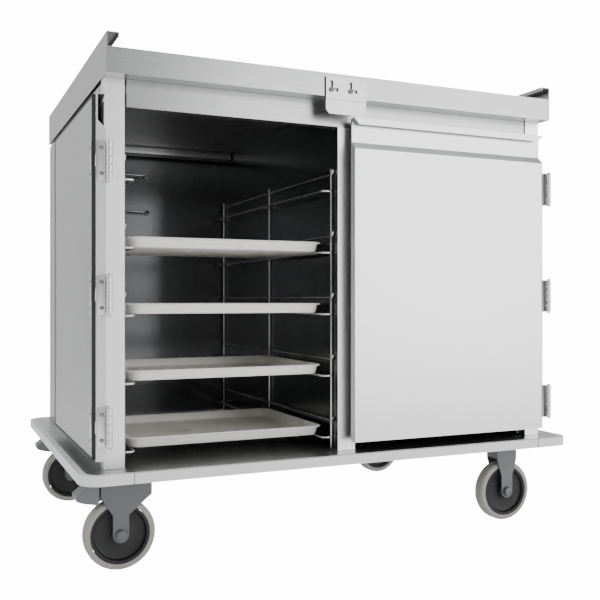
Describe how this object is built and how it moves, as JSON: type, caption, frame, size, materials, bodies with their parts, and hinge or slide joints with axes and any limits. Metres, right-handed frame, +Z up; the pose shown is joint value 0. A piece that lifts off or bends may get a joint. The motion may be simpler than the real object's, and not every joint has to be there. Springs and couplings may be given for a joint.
{
  "type": "food service trolley",
  "caption": "Stainless double-compartment tray delivery trolley with hinged doors, wire tray slides, drop latch, bumper base and casters.",
  "frame": {"origin": "on the floor under the middle of the bumper outline", "axes": "+Z up, +X to the right along the door front, doors face -Y"},
  "size_m": [1.218, 0.915, 1.1085],
  "materials": {
    "stainless": "fine satin brushed sheet",
    "polished_steel": "polished",
    "wire_steel": "bright wire",
    "zinc_steel": "grey satin, zinc plated",
    "bumper_vinyl": "satin moulded vinyl",
    "tray_plastic": "satin moulded",
    "wheel_core": "moulded nylon",
    "tyre_rubber": "matt non-marking rubber",
    "pedal_plastic": "moulded"
  },
  "bodies": {
    "cabinet": {"base_plate": "stainless", "bumper_front": "bumper_vinyl", "bumper_rear": "bumper_vinyl", "bumper_left": "bumper_vinyl", "bumper_right": "bumper_vinyl", "left_post": "stainless", "right_post": "stainless", "centre_post": "stainless", "header_panel": "stainless", "left_side_panel": "stainless", "right_side_panel": "stainless", "partition": "stainless", "back_panel": "stainless", "front_rail": "stainless", "rear_rail": "stainless", "left_handle_rail": "stainless", "right_handle_rail": "stainless", "top_deck": "stainless", "left_bay_outer_slides": "wire_steel", "left_bay_inner_slides": "wire_steel", "right_bay_inner_slides": "wire_steel", "right_bay_outer_slides": "wire_steel", "left_lower_hinge_frame_leaf": "polished_steel", "left_middle_hinge_frame_leaf": "polished_steel", "left_upper_hinge_frame_leaf": "polished_steel", "right_lower_hinge_frame_leaf": "polished_steel", "right_middle_hinge_frame_leaf": "polished_steel", "right_upper_hinge_frame_leaf": "polished_steel", "latch_studs": "polished_steel", "front_left_caster_plate": "zinc_steel", "rear_left_caster_plate": "zinc_steel", "front_right_caster_fork": "zinc_steel", "rear_right_caster_fork": "zinc_steel"},
    "left_door": {"left_door_shell": "stainless", "left_door_liner": "stainless", "left_lower_hinge_door_leaf": "polished_steel", "left_middle_hinge_door_leaf": "polished_steel", "left_upper_hinge_door_leaf": "polished_steel"},
    "right_door": {"right_door_shell": "stainless", "right_door_liner": "stainless", "right_lower_hinge_door_leaf": "polished_steel", "right_middle_hinge_door_leaf": "polished_steel", "right_upper_hinge_door_leaf": "polished_steel"},
    "latch": {"latch_plate": "polished_steel"},
    "front_left_swivel": {"front_left_caster_fork": "zinc_steel"},
    "front_left_pedal": {"front_left_brake_pedal": "pedal_plastic"},
    "front_left_wheel": {"front_left_wheel_core": "wheel_core", "front_left_wheel_tyre": "tyre_rubber"},
    "front_right_wheel": {"front_right_wheel_core": "wheel_core", "front_right_wheel_tyre": "tyre_rubber"},
    "rear_left_swivel": {"rear_left_caster_fork": "zinc_steel"},
    "rear_left_pedal": {"rear_left_brake_pedal": "pedal_plastic"},
    "rear_left_wheel": {"rear_left_wheel_core": "wheel_core", "rear_left_wheel_tyre": "tyre_rubber"},
    "rear_right_wheel": {"rear_right_wheel_core": "wheel_core", "rear_right_wheel_tyre": "tyre_rubber"},
    "tray_1": {"tray_1": "tray_plastic"},
    "tray_2": {"tray_2": "tray_plastic"},
    "tray_3": {"tray_3": "tray_plastic"},
    "tray_4": {"tray_4": "tray_plastic"}
  },
  "joints": [
    {"name": "left_door_hinge", "type": "hinge", "parent": "cabinet", "child": "left_door", "pos_m": [-0.5515, -0.4405, 0.582], "axis": [0, 0, 1], "range_deg": [0, 270]},
    {"name": "right_door_hinge", "type": "hinge", "parent": "cabinet", "child": "right_door", "pos_m": [0.5515, -0.4405, 0.582], "axis": [0, 0, 1], "range_deg": [0, 270]},
    {"name": "latch_drop", "type": "slide", "parent": "cabinet", "child": "latch", "axis": [0, 0, 1], "range_m": [-0.016, 0]},
    {"name": "front_left_caster_swivel", "type": "hinge", "parent": "cabinet", "child": "front_left_swivel", "pos_m": [-0.471, -0.328, 0.2], "axis": [0, 0, 1], "continuous": true},
    {"name": "front_left_wheel_spin", "type": "hinge", "parent": "front_left_swivel", "child": "front_left_wheel", "pos_m": [-0.509, -0.328, 0.0762], "axis": [0, 1, 0], "continuous": true},
    {"name": "front_left_brake", "type": "hinge", "parent": "front_left_swivel", "child": "front_left_pedal", "pos_m": [-0.539, -0.328, 0.172], "axis": [0, -1, 0], "range_deg": [0, 10]},
    {"name": "front_right_wheel_spin", "type": "hinge", "parent": "cabinet", "child": "front_right_wheel", "pos_m": [0.492, -0.328, 0.0762], "axis": [0, 1, 0], "continuous": true},
    {"name": "rear_left_caster_swivel", "type": "hinge", "parent": "cabinet", "child": "rear_left_swivel", "pos_m": [-0.471, 0.3385, 0.2], "axis": [0, 0, 1], "continuous": true},
    {"name": "rear_left_wheel_spin", "type": "hinge", "parent": "rear_left_swivel", "child": "rear_left_wheel", "pos_m": [-0.509, 0.3385, 0.0762], "axis": [0, 1, 0], "continuous": true},
    {"name": "rear_left_brake", "type": "hinge", "parent": "rear_left_swivel", "child": "rear_left_pedal", "pos_m": [-0.539, 0.3385, 0.172], "axis": [0, -1, 0], "range_deg": [0, 10]},
    {"name": "rear_right_wheel_spin", "type": "hinge", "parent": "cabinet", "child": "rear_right_wheel", "pos_m": [0.492, 0.3385, 0.0762], "axis": [0, 1, 0], "continuous": true},
    {"name": "tray_1_slide", "type": "slide", "parent": "cabinet", "child": "tray_1", "axis": [0, 1, 0], "range_m": [-0.4, 0]},
    {"name": "tray_2_slide", "type": "slide", "parent": "cabinet", "child": "tray_2", "axis": [0, 1, 0], "range_m": [-0.4, 0]},
    {"name": "tray_3_slide", "type": "slide", "parent": "cabinet", "child": "tray_3", "axis": [0, 1, 0], "range_m": [-0.4, 0]},
    {"name": "tray_4_slide", "type": "slide", "parent": "cabinet", "child": "tray_4", "axis": [0, 1, 0], "range_m": [-0.4, 0]}
  ]
}
